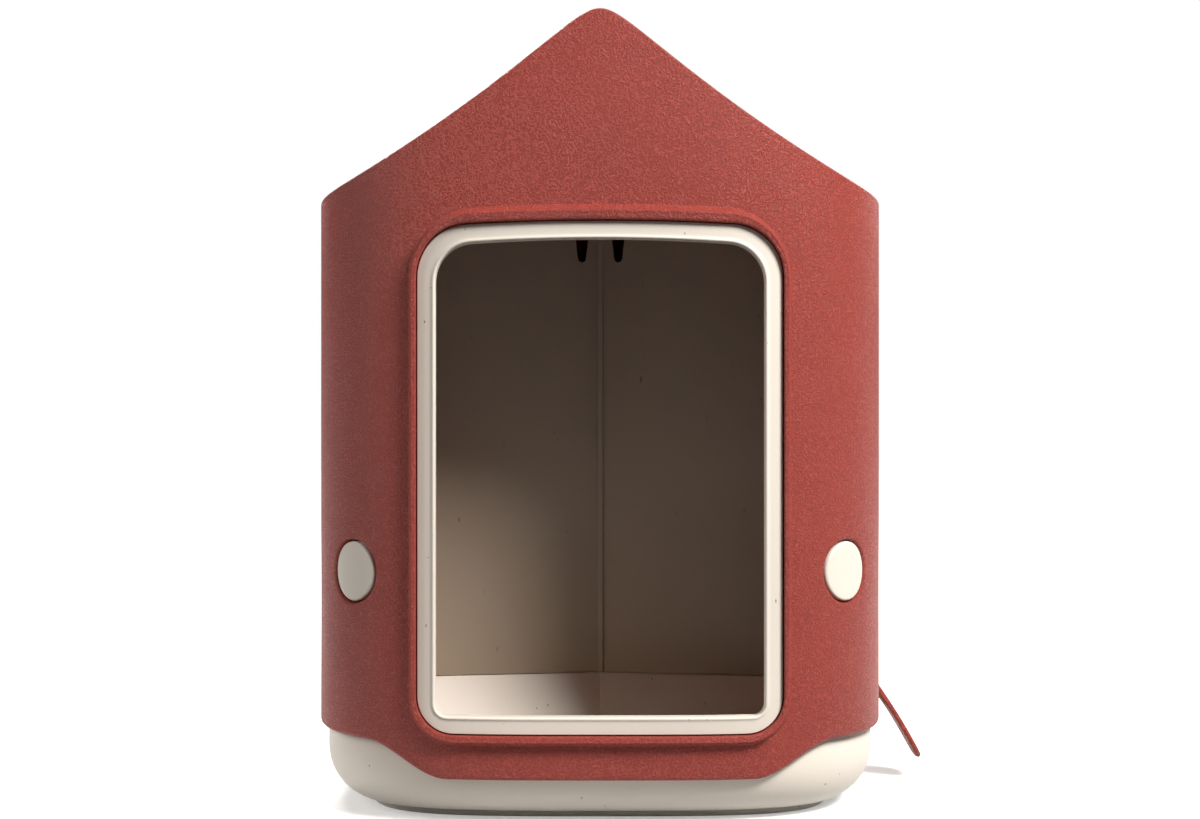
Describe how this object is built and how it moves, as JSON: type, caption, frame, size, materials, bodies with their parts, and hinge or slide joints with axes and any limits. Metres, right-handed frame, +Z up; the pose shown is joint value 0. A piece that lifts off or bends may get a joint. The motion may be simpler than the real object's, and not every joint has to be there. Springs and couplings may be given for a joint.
{
  "type": "birdhouse feeder",
  "caption": "Gabled bird house with a round nest entrance on one side and a large rounded feeder window on the other, moulded cover, inner housing, seed tray and corner push buttons.",
  "frame": {"origin": "centre of the foot plate's flat underside", "axes": "+Z up to the ridge; -Y out of the feeder window; +Y out of the round nest entrance; +X towards the pull tab"},
  "size_m": [0.2339, 0.206, 0.2855],
  "materials": {
    "cover_plastic": "fine grained matt moulding, brick red",
    "inner_plastic": "satin off-white with small brown fibre specks",
    "screw_steel": "plain steel"
  },
  "bodies": {
    "base": {"base_tray": "inner_plastic", "foot_plate": "inner_plastic", "seed_ramp": "inner_plastic", "foot_screw_front_left": "screw_steel", "foot_screw_front_right": "screw_steel", "foot_screw_back_left": "screw_steel", "foot_screw_back_right": "screw_steel"},
    "house": {"cover": "cover_plastic", "inner_housing": "inner_plastic", "partition": "inner_plastic", "partition_rail_left": "inner_plastic", "partition_rail_right": "inner_plastic", "button_socket_front_left": "inner_plastic", "button_socket_front_right": "inner_plastic", "button_socket_back_left": "inner_plastic", "button_socket_back_right": "inner_plastic"},
    "button_front_left": {"button_front_left": "inner_plastic"},
    "button_front_right": {"button_front_right": "inner_plastic"},
    "button_back_left": {"button_back_left": "inner_plastic"},
    "button_back_right": {"button_back_right": "inner_plastic"}
  },
  "joints": [
    {"name": "house_lift", "type": "slide", "parent": "base", "child": "house", "axis": [0, 0, 1], "range_m": [0, 0.08]},
    {"name": "press_front_left", "type": "slide", "parent": "house", "child": "button_front_left", "axis": [0.7071, 0.7071, 0], "range_m": [0, 0.003], "stiffness_N_per_m": 400},
    {"name": "press_front_right", "type": "slide", "parent": "house", "child": "button_front_right", "axis": [-0.7071, 0.7071, 0], "range_m": [0, 0.003], "stiffness_N_per_m": 400},
    {"name": "press_back_left", "type": "slide", "parent": "house", "child": "button_back_left", "axis": [0.7071, -0.7071, 0], "range_m": [0, 0.003], "stiffness_N_per_m": 400},
    {"name": "press_back_right", "type": "slide", "parent": "house", "child": "button_back_right", "axis": [-0.7071, -0.7071, 0], "range_m": [0, 0.003], "stiffness_N_per_m": 400}
  ]
}
